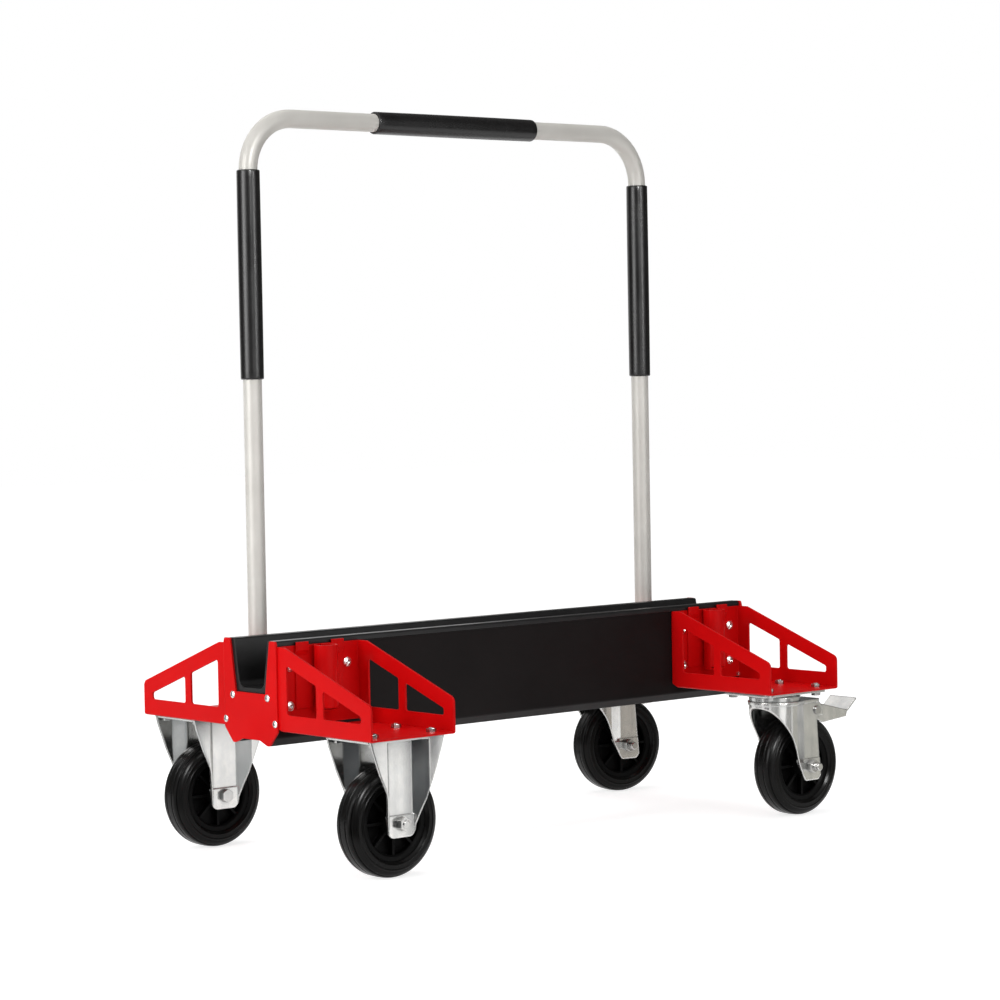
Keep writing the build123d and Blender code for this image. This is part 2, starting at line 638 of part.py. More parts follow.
def build():
    """Every node by name, as a list of solids, round the middle of the beam."""
    nodes = {
        "trough_channel": [trough_channel()],
        "side_wall_front": [side_wall()],
        "side_wall_rear": [mirrored(side_wall(), False, True)],
        "trough_liner": [trough_liner()],
        "end_plate_right": [end_plate()],
        "end_plate_left": [mirrored(end_plate(), True, False)],
        "end_bulkhead_right": [end_bulkhead()],
        "end_bulkhead_left": [mirrored(end_bulkhead(), True, False)],
        "end_plate_screws": end_plate_screws(),
        "bracket_screws": bracket_screws(bracket_screw()),
        "bracket_rivet_nuts": bracket_screws(rivet_nut()),
        "handle_tube": [handle_tube()],
        "grip_left": [side_grip(-STATION_X, LEFT_GRIP)],
        "grip_right": [side_grip(STATION_X, RIGHT_GRIP)],
        "grip_top": [top_grip()],
        "caster_bolts": caster_bolts(),
        "caster_nuts": caster_nuts(),
    }
    for row, rear in (("front", False), ("rear", True)):
        depth = CASTER_Y if rear else -CASTER_Y
        for end, left in (("left", True), ("right", False)):
            bracket = Pos(STATION_X, 0, 0) * corner_bracket()
            socket = Pos(STATION_X, 0, 0) * tube_socket(HANDLE_Y if rear else SPARE_Y)
            nodes[f"corner_bracket_{row}_{end}"] = [mirrored(bracket, left, rear)]
            nodes[f"tube_socket_{row}_{end}"] = [mirrored(socket, left, rear)]
        fixed = Pos(-STATION_X, depth, 0)
        nut_outside = Rot(0, 0, 180 if rear else 0)
        nodes[f"fixed_fork_{row}"] = [fixed * fixed_fork()]
        nodes[f"fixed_axle_{row}"] = [fixed * nut_outside * piece for piece in axle_bolt(FIXED_TIP)]
        nodes[f"fixed_axle_tube_{row}"] = [fixed * axle_tube()]
        nodes[f"wheel_hub_{row}_left"] = [fixed * wheel_hub()]
        nodes[f"tyre_{row}_left"] = [fixed * tyre()]
        plate_at = Pos(STATION_X, depth, 0)
        nodes[f"swivel_plate_{row}"] = [plate_at * swivel_plate()]
        nodes[f"king_pin_{row}"] = [plate_at * king_pin()]
        swivel = plate_at * Rot(0, 0, REAR_TURN if rear else 0)
        nodes[f"race_ring_{row}"] = [swivel * race_ring()]
        nodes[f"swivel_fork_{row}"] = [swivel * swivel_fork()]
        nodes[f"brake_pedal_{row}"] = [swivel * brake_pedal()]
        nodes[f"brake_shoe_{row}"] = [swivel * brake_shoe()]
        nodes[f"pedal_pin_{row}"] = [swivel * pedal_pin()]
        trailing = swivel * Pos(TRAIL, 0, 0)
        nodes[f"swivel_axle_{row}"] = [trailing * piece for piece in axle_bolt(SWIVEL_TIP)]
        nodes[f"swivel_axle_tube_{row}"] = [trailing * axle_tube()]
        nodes[f"wheel_hub_{row}_right"] = [trailing * wheel_hub()]
        nodes[f"tyre_{row}_right"] = [trailing * tyre()]
    return nodes


def main():
    os.makedirs("parts", exist_ok=True)
    nodes = {name: Compound(pieces) if len(pieces) > 1 else pieces[0] for name, pieces in build().items()}
    for name, shape in nodes.items():
        export_step(Pos(-ORIGIN_X, 0, 0) * shape, f"parts/{name}.step")


main()
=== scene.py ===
# %% [markdown]
# # A tile trolley, dressed in Blender
# The trolley arrives as finished construction: every sheet, tube, wheel and screw is already in
# place, in metres, standing on the ground at Z = 0. This lesson gives those pieces their real
# finishes, models what is soft, and photographs the result in a plain studio.

# %% Load the construction
import json
import math

import bmesh
import bpy
from mathutils import Matrix, Vector


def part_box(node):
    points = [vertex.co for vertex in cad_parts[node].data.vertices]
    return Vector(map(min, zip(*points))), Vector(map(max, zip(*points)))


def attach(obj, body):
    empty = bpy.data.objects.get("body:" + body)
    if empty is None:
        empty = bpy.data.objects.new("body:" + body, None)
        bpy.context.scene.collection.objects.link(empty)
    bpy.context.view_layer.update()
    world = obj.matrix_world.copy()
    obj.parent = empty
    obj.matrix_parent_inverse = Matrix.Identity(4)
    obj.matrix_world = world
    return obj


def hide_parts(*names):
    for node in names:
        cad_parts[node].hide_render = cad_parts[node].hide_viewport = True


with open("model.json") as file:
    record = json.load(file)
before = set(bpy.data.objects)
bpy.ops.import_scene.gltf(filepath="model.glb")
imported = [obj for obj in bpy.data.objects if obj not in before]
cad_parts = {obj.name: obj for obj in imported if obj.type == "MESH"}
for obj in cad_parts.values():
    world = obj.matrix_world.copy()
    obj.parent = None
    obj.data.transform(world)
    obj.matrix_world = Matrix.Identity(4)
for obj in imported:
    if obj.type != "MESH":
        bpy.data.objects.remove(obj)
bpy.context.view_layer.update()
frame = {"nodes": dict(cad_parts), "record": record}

scene = bpy.context.scene

# %% [markdown]
# ## Wiring nodes
# Surround, cards and finishes are all node trees. A few short helpers join sockets, stretch and mix
# values, and start a shared group, so that each tree below reads as a recipe.

# %% Helpers for node trees
# A colour mix keeps its two colours and its result at these places, among sockets of other kinds.
MIX_FIRST, MIX_SECOND, MIX_RESULT = 6, 7, 2


def wire(tree, source, target):
    """Join an output socket to an input socket."""
    tree.links.new(source, target)


def larger(tree, first, second):
    most = tree.nodes.new("ShaderNodeMath")
    most.operation = "MAXIMUM"
    wire(tree, first, most.inputs[0])
    wire(tree, second, most.inputs[1])
    return most.outputs["Value"]


def start_group(name, inputs, outputs):
    """New group with named sockets; returns the group, its input node and its output node."""
    group = bpy.data.node_groups.new(name, "ShaderNodeTree")
    for title, kind, value in inputs:
        socket = group.interface.new_socket(title, in_out="INPUT", socket_type=kind)
        socket.default_value = value
    for title, kind in outputs:
        group.interface.new_socket(title, in_out="OUTPUT", socket_type=kind)
    return group, group.nodes.new("NodeGroupInput"), group.nodes.new("NodeGroupOutput")


def noise(tree, scale, detail):
    """Noise in the piece's own coordinates; the scale counts features per metre."""
    where = tree.nodes.new("ShaderNodeTexCoord")
    cloud = tree.nodes.new("ShaderNodeTexNoise")
    cloud.inputs["Detail"].default_value = detail
    wire(tree, where.outputs["Object"], cloud.inputs["Vector"])
    if isinstance(scale, bpy.types.NodeSocket):
        wire(tree, scale, cloud.inputs["Scale"])
    else:
        cloud.inputs["Scale"].default_value = scale
    return cloud.outputs["Fac"]


def remap(tree, value, low, high, to_low=0.0, to_high=1.0):
    """Stretch a value from one span to another, clamped."""
    span = tree.nodes.new("ShaderNodeMapRange")
    ends = (("From Min", low), ("From Max", high), ("To Min", to_low), ("To Max", to_high))
    for name, number in ends:
        span.inputs[name].default_value = number
    wire(tree, value, span.inputs["Value"])
    return span.outputs["Result"]


def times(tree, first, second):
    """Product of a socket and a socket or plain number."""
    product = tree.nodes.new("ShaderNodeMath")
    product.operation = "MULTIPLY"
    wire(tree, first, product.inputs[0])
    if isinstance(second, bpy.types.NodeSocket):
        wire(tree, second, product.inputs[1])
    else:
        product.inputs[1].default_value = second
    return product.outputs["Value"]


def mix_tones(tree, mask, first, second):
    """Mix two colours, each a socket or a plain colour, by a mask."""
    mix = tree.nodes.new("ShaderNodeMix")
    mix.data_type = "RGBA"
    wire(tree, mask, mix.inputs[0])
    for socket, tone in ((mix.inputs[MIX_FIRST], first), (mix.inputs[MIX_SECOND], second)):
        if isinstance(tone, bpy.types.NodeSocket):
            wire(tree, tone, socket)
        else:
            socket.default_value = (*tone, 1)
    return mix.outputs[MIX_RESULT]


print("node helpers ready")

# %% [markdown]
# ## Adding things
# Floor, lamps, cards, camera and sleeves are all new objects. Three more helpers turn a bmesh into a
# mesh, link an object, and start a material that has only an output.

# %% Helpers for meshes, objects and materials
def mesh_from(bm, name):
    mesh = bpy.data.meshes.new(name)
    bm.to_mesh(mesh)
    bm.free()
    return mesh


def add_object(name, data):
    made = bpy.data.objects.new(name, data)
    scene.collection.objects.link(made)
    return made


def blank_material(name):
    """Material with nothing but an output; returns it, its node tree and the surface socket."""
    material = bpy.data.materials.new(name)
    material.use_nodes = True
    tree = material.node_tree
    tree.nodes.clear()
    out = tree.nodes.new("ShaderNodeOutputMaterial")
    return material, tree, out.inputs["Surface"]


print("object helpers ready")

# %% [markdown]
# ## The studio
# The trolley stands on seamless white paper. The world is white to the camera and in reflections,
# so that zinc and aluminium pick up a bright surround, while its light on the paint stays at a
# plain level. One Light Path node tells these rays apart.

# %% White surround
WORLD_LIGHT = 0.45
WHITE_SEEN = 1.0
scene.view_settings.view_transform = "Standard"


def mirror_rays(tree):
    """1 for what the camera, a mirror or a window looks at, 0 for light that only falls on things."""
    path = tree.nodes.new("ShaderNodeLightPath")
    total = path.outputs["Is Camera Ray"]
    for name in ("Is Glossy Ray", "Is Transmission Ray"):
        total = larger(tree, total, path.outputs[name])
    return total


def white_world():
    world = bpy.data.worlds.new("studio_white")
    scene.world = world
    world.use_nodes = True
    tree = world.node_tree
    tree.nodes.clear()
    out = tree.nodes.new("ShaderNodeOutputWorld")
    mix = tree.nodes.new("ShaderNodeMixShader")
    for slot, strength in ((1, WORLD_LIGHT), (2, WHITE_SEEN)):
        sky = tree.nodes.new("ShaderNodeBackground")
        sky.inputs["Color"].default_value = (1, 1, 1, 1)
        sky.inputs["Strength"].default_value = strength
        wire(tree, sky.outputs["Background"], mix.inputs[slot])
    wire(tree, mirror_rays(tree), mix.inputs["Fac"])
    wire(tree, mix.outputs["Shader"], out.inputs["Surface"])


white_world()
print("world light", WORLD_LIGHT)

# %% [markdown]
# ## The floor
# A paper floor that glowed at full strength would swallow the trolley's shadow. Part of its white
# is therefore glow and part is plain paper lit by the lamps: in the open the two add up to white,
# and under the trolley the paper part darkens.

# %% Paper floor
FLOOR_REACH = 14.0
FLOOR_GLOW = 0.76
PAPER_SEEN = (0.6, 0.6, 0.6)
PAPER_LIT = (0.9, 0.9, 0.9)


def plain_paper(tree, tone):
    paper = tree.nodes.new("ShaderNodeBsdfDiffuse")
    paper.inputs["Color"].default_value = (*tone, 1)
    return paper.outputs["BSDF"]


def paper_floor():
    bm = bmesh.new()
    bmesh.ops.create_grid(bm, x_segments=1, y_segments=1, size=FLOOR_REACH)
    mesh = mesh_from(bm, "paper_floor")
    floor = add_object("paper_floor", mesh)
    material, tree, surface = blank_material("floor_paper")
    light = tree.nodes.new("ShaderNodeEmission")
    light.inputs["Strength"].default_value = FLOOR_GLOW
    both = tree.nodes.new("ShaderNodeAddShader")
    mix = tree.nodes.new("ShaderNodeMixShader")
    wire(tree, plain_paper(tree, PAPER_SEEN), both.inputs[0])
    wire(tree, light.outputs["Emission"], both.inputs[1])
    wire(tree, mirror_rays(tree), mix.inputs["Fac"])
    wire(tree, plain_paper(tree, PAPER_LIT), mix.inputs[1])
    wire(tree, both.outputs["Shader"], mix.inputs[2])
    wire(tree, mix.outputs["Shader"], surface)
    mesh.materials.append(material)


paper_floor()
print("floor glow", FLOOR_GLOW)

# %% [markdown]
# ## The lamps
# A tall softbox on the left is the main light; that is where the photograph's trolley is brightest. A
# broad lamp in front lights the bays of the brackets, and one hangs above for the level faces. Those
# two are kept out of reflections, so that they draw no line along the tube. Three more do the opposite
# and only show as reflections: two tall strips, one beside the left softbox and one in front, that draw
# the two upright streaks on each grip, and a small lamp that puts the highlight on the tyres' shoulders
# and on rounded metal.

# %% Soft lamps
LAMP_AIM = Vector((0, 0, 0.45))
# Name, place, width, height, power, and the rays that don't see the lamp.
LAMPS = (
    ("key_left", (-3.4, 0.2, 1.35), 0.9, 2.2, 51, None),
    ("fill_front", (-0.6, -3.7, 1.5), 1.8, 1.8, 23, "glossy"),
    ("top_soft", (0.2, 0.4, 3.6), 2.2, 2.2, 38, "glossy"),
    ("streak_left", (-3.35, -0.6, 1.35), 0.6, 2.2, 24, "diffuse"),
    ("streak_front", (0.6, -3.6, 1.35), 0.35, 1.9, 38, "diffuse"),
    ("glint", (-1.73, -4.82, 2.89), 0.7, 0.7, 260, "diffuse"),
)


def softbox(name, spot, wide, high, power, hidden):
    """Area lamp turned towards the trolley's middle."""
    lamp = bpy.data.lights.new(name, "AREA")
    lamp.shape = "RECTANGLE"
    lamp.size = wide
    lamp.size_y = high
    lamp.energy = power
    holder = add_object(name, lamp)
    holder.location = spot
    holder.rotation_mode = "QUATERNION"
    holder.rotation_quaternion = (LAMP_AIM - Vector(spot)).to_track_quat("-Z", "Y")
    if hidden:
        setattr(holder, "visible_" + hidden, False)


for lamp_row in LAMPS:
    softbox(*lamp_row)
print("lamps", [lamp_row[0] for lamp_row in LAMPS])

# %% [markdown]
# ## Cards to mirror
# Bright metal only looks like metal when it has something darker to mirror, and in the photograph each
# caster mirrors something else. A low card stands close to each folded face that should not be white:
# dark ones by the front left fork, greys by the others, all in two tones that drift like a cluttered
# studio. Four more greys stand behind and to the right, for whoever walks round the trolley. Three tall
# dark walls stand far off, between the softboxes, so that the grips' streaks have dark on both sides.
# Cards and walls are seen in reflections alone and throw neither light nor shadow.

# %% One card
def card(name, corners, high, tones):
    """Upright card along points on the floor, glowing in two drifting tones."""
    bm = bmesh.new()
    foot = [bm.verts.new((x, y, 0)) for x, y in corners]
    edges = [bm.edges.new(pair) for pair in zip(foot, foot[1:])]
    raised = bmesh.ops.extrude_edge_only(bm, edges=edges)["geom"]
    top = [v for v in raised if isinstance(v, bmesh.types.BMVert)]
    bmesh.ops.translate(bm, verts=top, vec=(0, 0, high))
    mesh = mesh_from(bm, name)
    material, tree, surface = blank_material(name)
    glow = tree.nodes.new("ShaderNodeEmission")
    patches = remap(tree, noise(tree, scale=26.0, detail=2.0), low=0.35, high=0.65)
    wire(tree, mix_tones(tree, patches, *tones), glow.inputs["Color"])
    wire(tree, glow.outputs["Emission"], surface)
    mesh.materials.append(material)
    stood = add_object(name, mesh)
    for ray in ("camera", "diffuse", "transmission", "volume_scatter", "shadow"):
        setattr(stood, "visible_" + ray, False)


print("card helper ready")

# %% Cards for the metal to mirror
CARD_HIGH = 0.22
GREYS = ((0.12, 0.125, 0.13), (0.7, 0.7, 0.69))
DARKS = ((0.08, 0.08, 0.08), (0.16, 0.155, 0.15))
# Name, points on the floor, height, and the two tones.
CARDS = (
    ("card_front_left", ((-0.375, -0.43), (-0.57, -0.42), (-0.67, -0.19)), CARD_HIGH,
     ((0.004, 0.006, 0.008), (0.085, 0.095, 0.105))),
    ("card_front_fold", ((-0.252, -0.6), (-0.39, -0.6)), CARD_HIGH,
     ((0.006, 0.007, 0.01), (0.09, 0.095, 0.105))),
    ("card_front_wing", ((-0.297, -0.4), (-0.24, -0.435)), CARD_HIGH,
     ((0.02, 0.024, 0.034), (0.15, 0.155, 0.175))),
    ("card_rear_left", ((-0.37, 0.0), (-0.57, 0.0), (-0.6, 0.12), (-0.69, 0.27)), CARD_HIGH,
     ((0.3, 0.32, 0.33), (0.7, 0.72, 0.73))),
    ("card_arch_left", ((0.13, -0.34), (0.25, -0.43)), CARD_HIGH,
     ((0.2, 0.21, 0.21), (0.6, 0.61, 0.6))),
    ("card_arch", ((0.36, -0.45), (0.47, -0.43)), CARD_HIGH,
     ((0.06, 0.06, 0.06), (0.6, 0.6, 0.58))),
    ("card_front_right", ((0.49, -0.42), (0.66, -0.325)), CARD_HIGH,
     ((0.48, 0.475, 0.43), (0.62, 0.61, 0.56))),
    ("card_rear_right", ((0.41, -0.03), (0.56, 0.02)), CARD_HIGH,
     ((0.38, 0.36, 0.32), (0.5, 0.47, 0.43))),
    ("card_back_left", ((-0.6, 0.44), (-0.36, 0.46), (-0.18, 0.44)), CARD_HIGH, GREYS),
    ("card_back_right", ((0.2, 0.44), (0.4, 0.46), (0.62, 0.43)), CARD_HIGH, GREYS),
    ("card_side_front", ((0.74, -0.36), (0.76, -0.1)), CARD_HIGH, GREYS),
    ("card_side_rear", ((0.76, 0.1), (0.74, 0.36)), CARD_HIGH, GREYS),
    ("wall_right", ((1.9, -2.6), (2.7, 0.3), (2.0, 2.4)), 7.0, DARKS),
    ("wall_camera", ((-5.2, -2.9), (-2.7, -5.2)), 2.2, DARKS),
    ("wall_back_left", ((-3.4, 1.5), (-1.2, 3.4)), 2.2, DARKS),
)
for card_row in CARDS:
    card(*card_row)
print("cards", len(CARDS))

# %% [markdown]
# ## The camera
# The viewing angle was found from the photograph's straight edges: a long lens at about two thirds of
# the handle's height, turned about forty degrees from a square view of the trolley's side.

# %% Camera at the photograph's angle
LENS = 110.65
SENSOR = 36.0
PLACE = (-3.1461, -3.6189, 0.7172)
TURN, DIP, ROLL = (math.radians(a) for a in (40.74, 2.41, -1.03))


def photo_camera():
    ahead = math.cos(DIP)
    forward = Vector((math.sin(TURN) * ahead, math.cos(TURN) * ahead, -math.sin(DIP)))
    level = Vector((math.cos(TURN), -math.sin(TURN), 0))
    upright = level.cross(forward)
    right = math.cos(ROLL) * level + math.sin(ROLL) * upright
    up = math.cos(ROLL) * upright - math.sin(ROLL) * level
    data = bpy.data.cameras.new("photo_camera")
    data.sensor_width = SENSOR
    data.lens = LENS
    camera = add_object("photo_camera", data)
    turn = Matrix((right, up, -forward)).transposed()
    camera.matrix_world = Matrix.Translation(PLACE) @ turn.to_4x4()
    scene.camera = camera


photo_camera()
print("camera at", PLACE)

# %% [markdown]
# ## Shared effects
# Several finishes need the same small effects: tones that drift over a painted sheet, fine grain,
# edges that are rounded and catch the light with a painted highlight, painted shade in corners, and a
# little dust on what faces up. Each is a shader node group that is built once and placed in every
# finish with its own values.
#
# The first is drifting tones. No coat is one flat colour: a spray gun or a plating bath leaves slow
# changes. Noise in the piece's own coordinates mixes two close tones, which needs no unwrapping.

# %% Tones that drift
def build_tone_drift():
    """Two tones flowing into each other, as in any sprayed or plated coat."""
    group, given, out = start_group(
        "tone_drift",
        [("First", "NodeSocketColor", (0, 0, 0, 1)), ("Second", "NodeSocketColor", (1, 1, 1, 1)),
         ("Scale", "NodeSocketFloat", 8.0)],
        [("Tone", "NodeSocketColor")],
    )
    mask = remap(group, noise(group, given.outputs["Scale"], detail=3.0), low=0.3, high=0.7)
    tone = mix_tones(group, mask, given.outputs["First"], given.outputs["Second"])
    wire(group, tone, out.inputs["Tone"])
    return group


TONE_DRIFT = build_tone_drift()
print("group", TONE_DRIFT.name)

# %% [markdown]
# ### Grain
# Under raking light every coat shows a fine grain, and its gloss changes slowly from place to place.
# Modelled bumps would cost millions of faces, so the grain is only a height for a bump, and a second,
# slower noise varies the gloss.

# %% Fine grain
SLOWER = 0.03


def build_fine_grain():
    """Small bumps of a coat, and a slower mask that varies its gloss."""
    group, given, out = start_group(
        "fine_grain",
        [("Scale", "NodeSocketFloat", 900.0)],
        [("Height", "NodeSocketFloat"), ("Gloss", "NodeSocketFloat")],
    )
    bumps = noise(group, given.outputs["Scale"], detail=2.0)
    slow = noise(group, times(group, given.outputs["Scale"], SLOWER), detail=4.0)
    wire(group, bumps, out.inputs["Height"])
    wire(group, remap(group, slow, low=0.3, high=0.7), out.inputs["Gloss"])
    return group


FINE_GRAIN = build_fine_grain()
print("group", FINE_GRAIN.name)

# %% [markdown]
# ### Edges
# Real sheet edges are slightly rounded and draw a thin bright line. The construction keeps its crisp
# edges: the Bevel node bends the normal there without adding faces, and wherever the bent normal leaves
# the true one, that is an edge. The finishes lighten the colour there as a painted highlight.

# %% Edges that catch the light
BEVEL_SAMPLES = 6


def build_edge_catch():
    """Normal rounded over at every edge, and a broken-up mask of where the edges are, for a painted
    highlight.
    """
    group, given, out = start_group(
        "edge_catch",
        [("Radius", "NodeSocketFloat", 0.001)],
        [("Normal", "NodeSocketVector"), ("Edge", "NodeSocketFloat")],
    )
    rounded = group.nodes.new("ShaderNodeBevel")
    rounded.samples = BEVEL_SAMPLES
    wire(group, given.outputs["Radius"], rounded.inputs["Radius"])
    flat = group.nodes.new("ShaderNodeNewGeometry")
    along = group.nodes.new("ShaderNodeVectorMath")
    along.operation = "DOT_PRODUCT"
    wire(group, rounded.outputs["Normal"], along.inputs[0])
    wire(group, flat.outputs["Normal"], along.inputs[1])
    turned = remap(group, along.outputs["Value"], low=0.99, high=0.8)
    spots = noise(group, scale=140.0, detail=3.0)
    patchy = remap(group, spots, low=0.35, high=0.65, to_low=0.35, to_high=1.0)
    wire(group, rounded.outputs["Normal"], out.inputs["Normal"])
    wire(group, times(group, turned, patchy), out.inputs["Edge"])
    return group


EDGE_CATCH = build_edge_catch()
print("group", EDGE_CATCH.name)

# %% [markdown]
# ### Painted shade in corners
# Folds and pockets get little light, and that shade is painted into the colour. Ambient occlusion
# measures how closed in a point is. One group asks this within a single piece; the other asks it
# between pieces as well, for zinc sheet and bolts, which get painted shade for the dark gaps they mirror.

# %% Painted shade in corners
SHADE_SAMPLES = 8


def build_painted_shade(name, alone):
    """Mask for painted shade in folds and pockets, of a piece alone or between pieces, where little light
    gets in.
    """
    group, given, out = start_group(
        name,
        [("Reach", "NodeSocketFloat", 0.03)],
        [("Shade", "NodeSocketFloat")],
    )
    around = group.nodes.new("ShaderNodeAmbientOcclusion")
    around.samples = SHADE_SAMPLES
    around.only_local = alone
    wire(group, given.outputs["Reach"], around.inputs["Distance"])
    wire(group, remap(group, around.outputs["AO"], low=0.9, high=0.3), out.inputs["Shade"])
    return group


SHADE_IN_PIECE = build_painted_shade("painted_shade_in_piece", True)
SHADE_AMONG_PIECES = build_painted_shade("painted_shade_among_pieces", False)
print("groups", SHADE_IN_PIECE.name, SHADE_AMONG_PIECES.name)

# %% [markdown]
# ### Dust
# Even a new trolley has a trace of dust where it faces up. The Z part of the normal finds these faces,
# and noise breaks the film into patches.

# %% Dust that settles
def build_settled_dust():
    """Faint patches of dust on faces that look up."""
    group, given, out = start_group(
        "settled_dust",
        [("Amount", "NodeSocketFloat", 0.1)],
        [("Dust", "NodeSocketFloat")],
    )
    face = group.nodes.new("ShaderNodeNewGeometry")
    split = group.nodes.new("ShaderNodeSeparateXYZ")
    wire(group, face.outputs["Normal"], split.inputs["Vector"])
    upward = remap(group, split.outputs["Z"], low=0.35, high=1.0)
    patches = remap(group, noise(group, scale=45.0, detail=6.0), low=0.42, high=0.75)
    dust = times(group, times(group, upward, patches), given.outputs["Amount"])
    wire(group, dust, out.inputs["Dust"])
    return group


SETTLED_DUST = build_settled_dust()
print("group", SETTLED_DUST.name)

# %% [markdown]
# ### Cells
# Zinc plating shows small crystals, and foam has pores. Both are patchworks of cells, so one Voronoi
# texture serves them: a cell's colour gives a crystal its tone, and the distance from the cell's middle
# gives a pore its depth.

# %% Cells, for zinc crystals and foam pores
def build_cells():
    """Patchwork of cells: a tone for each cell, and how far a point lies from the cell's middle."""
    group, given, out = start_group(
        "cells",
        [("Scale", "NodeSocketFloat", 200.0)],
        [("Patch", "NodeSocketFloat"), ("Depth", "NodeSocketFloat")],
    )
    where = group.nodes.new("ShaderNodeTexCoord")
    cells = group.nodes.new("ShaderNodeTexVoronoi")
    wire(group, where.outputs["Object"], cells.inputs["Vector"])
    wire(group, given.outputs["Scale"], cells.inputs["Scale"])
    split = group.nodes.new("ShaderNodeSeparateColor")
    wire(group, cells.outputs["Color"], split.inputs["Color"])
    wire(group, split.outputs["Red"], out.inputs["Patch"])
    wire(group, cells.outputs["Distance"], out.inputs["Depth"])
    return group


CELLS = build_cells()
print("group", CELLS.name)

# %% [markdown]
# ### Painted reflection streaks
# Bright zinc mirrors blurred dark and light streaks; here they are painted into the colour. Drawn lines
# would look ruled, so they are noise that is stretched in one direction.

# %% Painted reflection streaks, for bright zinc
STREAK_STRETCH = (1.0, 1.0, 0.14)


def build_reflection_streaks():
    """Soft upright streaks of painted reflection: noise that is stretched along the piece's height."""
    group, given, out = start_group(
        "streaks",
        [("Scale", "NodeSocketFloat", 60.0)],
        [("Streak", "NodeSocketFloat")],
    )
    where = group.nodes.new("ShaderNodeTexCoord")
    stretch = group.nodes.new("ShaderNodeMapping")
    stretch.inputs["Scale"].default_value = STREAK_STRETCH
    cloud = group.nodes.new("ShaderNodeTexNoise")
    cloud.inputs["Detail"].default_value = 3.0
    wire(group, where.outputs["Object"], stretch.inputs["Vector"])
    wire(group, stretch.outputs["Vector"], cloud.inputs["Vector"])
    wire(group, given.outputs["Scale"], cloud.inputs["Scale"])
    wire(group, remap(group, cloud.outputs["Fac"], low=0.38, high=0.66), out.inputs["Streak"])
    return group


REFLECTION_STREAKS = build_reflection_streaks()
print("group", REFLECTION_STREAKS.name)

# %% [markdown]
# ## A finish in layers
# Every finish is put together the same way: drifting tones, a painted highlight on the edges, dust and
# painted shade in the corners make its colour, a slow mask varies its gloss, and grain on top of the
# rounded edges makes its normal. The Principled shader stays in the material itself, and what is the
# same all over a surface is set straight on its sockets.

# %% Layered finish
GRAIN_STRENGTH = 0.5
finishes = {}


def place(tree, group, **values):
    """Put a shared effect into a material with its own values."""
    made = tree.nodes.new("ShaderNodeGroup")
    made.node_tree = group
    for name, value in values.items():
        made.inputs[name].default_value = value
    return made


def bump(tree, height, depth, strength, normal):
    made = tree.nodes.new("ShaderNodeBump")
    made.inputs["Distance"].default_value = depth
    made.inputs["Strength"].default_value = strength
    wire(tree, height, made.inputs["Height"])
    wire(tree, normal, made.inputs["Normal"])
    return made.outputs["Normal"]


def layered_finish(name, tones, drift, gloss, grain, depth, edge, edge_highlight_tone, edge_highlight_share, painted_shade,
                   dust, dust_tone):
    """Material of one finish; returns its node tree and shader, for what is special about it."""
    material = bpy.data.materials.new("finish_" + name)
    finishes[name] = material
    material.use_nodes = True
    tree = material.node_tree
    shader = tree.nodes["Principled BSDF"]
    tone = place(tree, TONE_DRIFT, First=(*tones[0], 1), Second=(*tones[1], 1), Scale=drift)
    rim = place(tree, EDGE_CATCH, Radius=edge)
    film = place(tree, SETTLED_DUST, Amount=dust)
    coat = place(tree, FINE_GRAIN, Scale=grain)
    # Painted highlight: edges are lightened towards the edge highlight tone, in broken patches.
    edge_highlight = times(tree, rim.outputs["Edge"], edge_highlight_share)
    colour = mix_tones(tree, edge_highlight, tone.outputs["Tone"], edge_highlight_tone)
    colour = mix_tones(tree, film.outputs["Dust"], colour, dust_tone)
    # Painted shade: folds and pockets are darkened towards the shade tone.
    shade_group, reach, shade_tone, shade_share = painted_shade
    fold = place(tree, shade_group, Reach=reach)
    shade = times(tree, fold.outputs["Shade"], shade_share)
    colour = mix_tones(tree, shade, colour, shade_tone)
    wire(tree, colour, shader.inputs["Base Color"])
    wire(tree, remap(tree, coat.outputs["Gloss"], 0.0, 1.0, *gloss), shader.inputs["Roughness"])
    normal = bump(tree, coat.outputs["Height"], depth, GRAIN_STRENGTH, rim.outputs["Normal"])
    wire(tree, normal, shader.inputs["Normal"])
    return tree, shader


print("layered finish ready")

# %% [markdown]
# ## Powder coat
# The brackets and end plates are powder-coated red and the beam black. Powder melts into a skin
# with a faint orange peel and rounds every cut edge a little; a painted highlight draws a thin bright
# line along the sheet edges. The gloss is low, so the specular level is low as well.

# %% Red and black powder coat
def powder_coat(name, tones, edge_highlight_tone, shade_tone, dust_tone, gloss, specular):
    _, shader = layered_finish(
        name, tones, drift=7.0, gloss=gloss, grain=700.0, depth=0.0002, edge=0.0011,
        edge_highlight_tone=edge_highlight_tone, edge_highlight_share=0.55, painted_shade=(SHADE_IN_PIECE, 0.045, shade_tone, 0.12),
        dust=0.03, dust_tone=dust_tone,
    )
    shader.inputs["Specular IOR Level"].default_value = specular


powder_coat(
    "red_paint", ((0.63, 0.003, 0.004), (0.71, 0.004, 0.005)), edge_highlight_tone=(0.88, 0.045, 0.04),
    shade_tone=(0.2, 0.001, 0.001), dust_tone=(0.6, 0.1, 0.09), gloss=(0.28, 0.38), specular=0.055,
)
powder_coat(
    "black_paint", ((0.0085, 0.0066, 0.0066), (0.011, 0.0086, 0.0086)),
    edge_highlight_tone=(0.035, 0.034, 0.033), shade_tone=(0.002, 0.002, 0.002),
    dust_tone=(0.1, 0.095, 0.09), gloss=(0.36, 0.46), specular=0.07,
)
print("powder coats ready")

# %% [markdown]
# ## Rubber
# The trough liner is a soft extruded rubber with a satin skin; the tyres are moulded solid rubber that
# mirrors less. Both take a fine pebbled bump, and a bloom greys them slightly where they face up.

